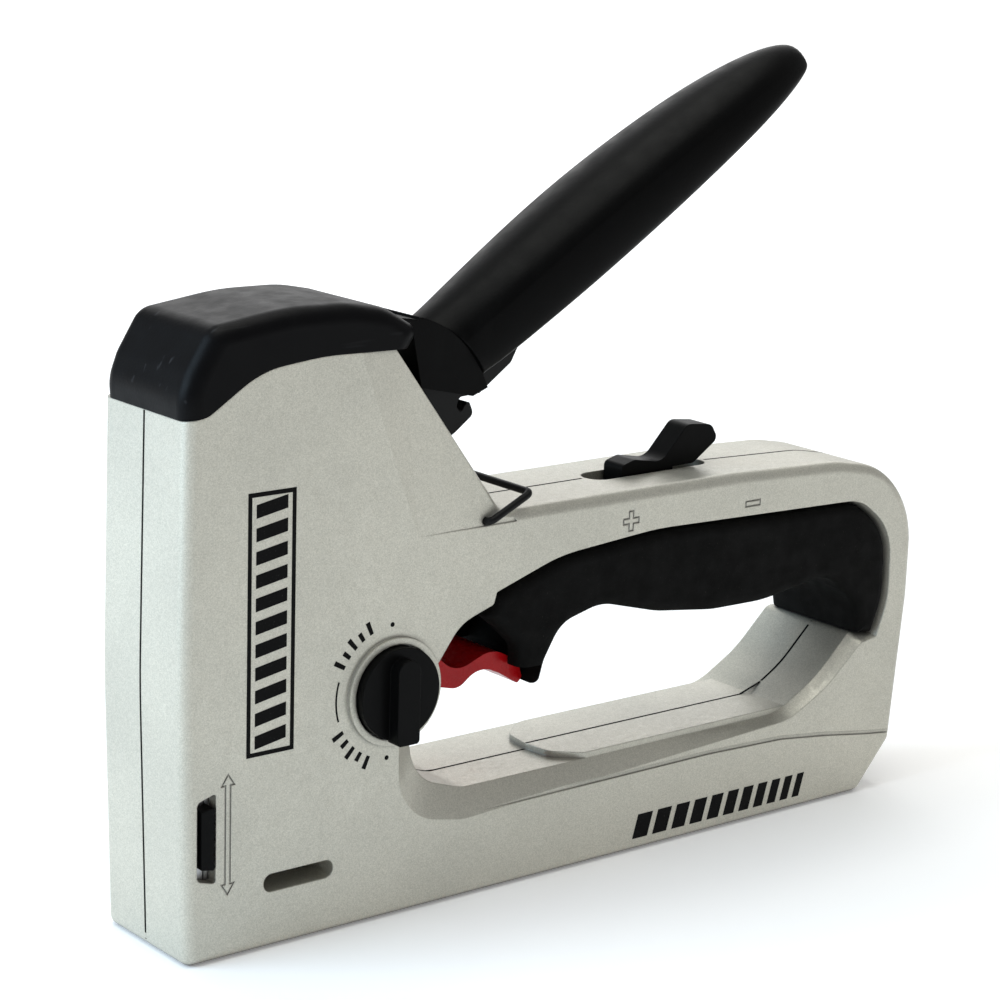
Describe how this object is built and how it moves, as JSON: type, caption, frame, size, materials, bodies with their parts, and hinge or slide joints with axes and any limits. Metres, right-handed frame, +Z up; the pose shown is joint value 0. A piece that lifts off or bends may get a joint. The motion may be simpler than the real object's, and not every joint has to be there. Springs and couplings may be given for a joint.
{
  "type": "staple gun",
  "caption": "Hand staple gun with a squeeze handle over a die-cast head, a hand hole with a rubber grip, a finger trigger, a mode knob and a slide-out staple magazine.",
  "frame": {"origin": "on the sole, half way along the tool, on the parting plane between its two shells", "axes": "+Z up from the sole, +X from the nose towards the rear of the grip, -Y towards the side with the mode knob"},
  "size_m": [0.1979, 0.0373, 0.1715],
  "materials": {
    "silver_paint": "satin metallic paint with a fine orange peel",
    "cap_plastic": "satin black moulding",
    "handle_plastic": "satin black moulding",
    "grip_rubber": "matt black rubber",
    "trigger_plastic": "glossy red moulding",
    "control_plastic": "semi-gloss black moulding",
    "black_steel": "black oxide",
    "steel": "plain steel",
    "end_plastic": "black moulding",
    "bumper_rubber": "matt rubber",
    "spring_steel": "spring steel",
    "staple_wire": "bright wire"
  },
  "bodies": {
    "tool_body": {"housing_left": "silver_paint", "housing_right": "silver_paint", "housing_screws": "steel", "top_cap": "cap_plastic", "grip_pad": "grip_rubber", "striker_guide": "steel", "striker_bumper": "bumper_rubber", "spring_anchor": "steel", "drive_leaf_spring": "spring_steel", "lever_pivot_pin": "steel", "handle_return_spring": "spring_steel", "trigger_pin": "steel", "trigger_spring": "spring_steel", "sear_pin": "steel", "sear_spring": "spring_steel"},
    "handle": {"handle_grip": "handle_plastic", "lever_frame": "black_steel", "handle_shroud": "handle_plastic"},
    "striker": {"striker_blade": "steel", "striker_block": "steel"},
    "bail": {"lock_bail": "black_steel"},
    "power_control": {"power_slider": "control_plastic", "fulcrum_block": "steel"},
    "depth_control": {"depth_guide": "steel", "depth_thumb": "control_plastic"},
    "mode_control": {"mode_knob": "control_plastic", "mode_shaft": "steel"},
    "trigger_lever": {"trigger": "trigger_plastic"},
    "sear_lever": {"sear": "steel"},
    "magazine": {"magazine_rail": "steel", "magazine_end": "end_plastic", "magazine_latch": "steel", "pusher_rod": "steel", "pusher_spring": "spring_steel", "staple_strip": "staple_wire"},
    "pusher": {"staple_pusher": "steel"}
  },
  "joints": [
    {"name": "handle_squeeze", "type": "hinge", "parent": "tool_body", "child": "handle", "pos_m": [-0.047, 0, 0.097], "axis": [0, 1, 0], "range_deg": [0, 25], "stiffness_Nm_per_rad": 1.5, "springref_deg": -11.46, "deforming": ["handle_return_spring", "drive_leaf_spring"]},
    {"name": "striker_lift", "type": "slide", "parent": "tool_body", "child": "striker", "axis": [0, 0, 1], "range_m": [0, 0.0187], "deforming": ["drive_leaf_spring"]},
    {"name": "bail_swing", "type": "hinge", "parent": "tool_body", "child": "bail", "pos_m": [-0.027, 0, 0.08], "axis": [0, 1, 0], "range_deg": [-40, 0]},
    {"name": "power_slide", "type": "slide", "parent": "tool_body", "child": "power_control", "axis": [1, 0, 0], "range_m": [-0.0055, 0.0085]},
    {"name": "depth_slide", "type": "slide", "parent": "tool_body", "child": "depth_control", "axis": [0, 0, 1], "range_m": [-0.0015, 0.0015]},
    {"name": "mode_turn", "type": "hinge", "parent": "tool_body", "child": "mode_control", "pos_m": [-0.0494, -0.015, 0.0481], "axis": [0, 1, 0], "range_deg": [0, 169]},
    {"name": "trigger_pull", "type": "hinge", "parent": "tool_body", "child": "trigger_lever", "pos_m": [-0.0405, 0, 0.0545], "axis": [0, 1, 0], "range_deg": [-14, 0], "stiffness_Nm_per_rad": 0.1, "springref_deg": 11.46, "deforming": ["trigger_spring"]},
    {"name": "sear_rock", "type": "hinge", "parent": "tool_body", "child": "sear_lever", "pos_m": [-0.066, 0, 0.06], "axis": [0, 1, 0], "range_deg": [0, 4.2], "deforming": ["sear_spring"]},
    {"name": "magazine_slide", "type": "slide", "parent": "tool_body", "child": "magazine", "axis": [1, 0, 0], "range_m": [0, 0.09]},
    {"name": "pusher_slide", "type": "slide", "parent": "magazine", "child": "pusher", "axis": [1, 0, 0], "range_m": [0, 0.12], "stiffness_N_per_m": 20, "springref_m": -0.1, "deforming": ["pusher_spring"]}
  ],
  "couplings": [
    {"joint": "striker_lift", "follows": "handle_squeeze", "m_per_rad": 0.0426},
    {"joint": "sear_rock", "follows": "trigger_pull", "ratio": -0.3}
  ]
}
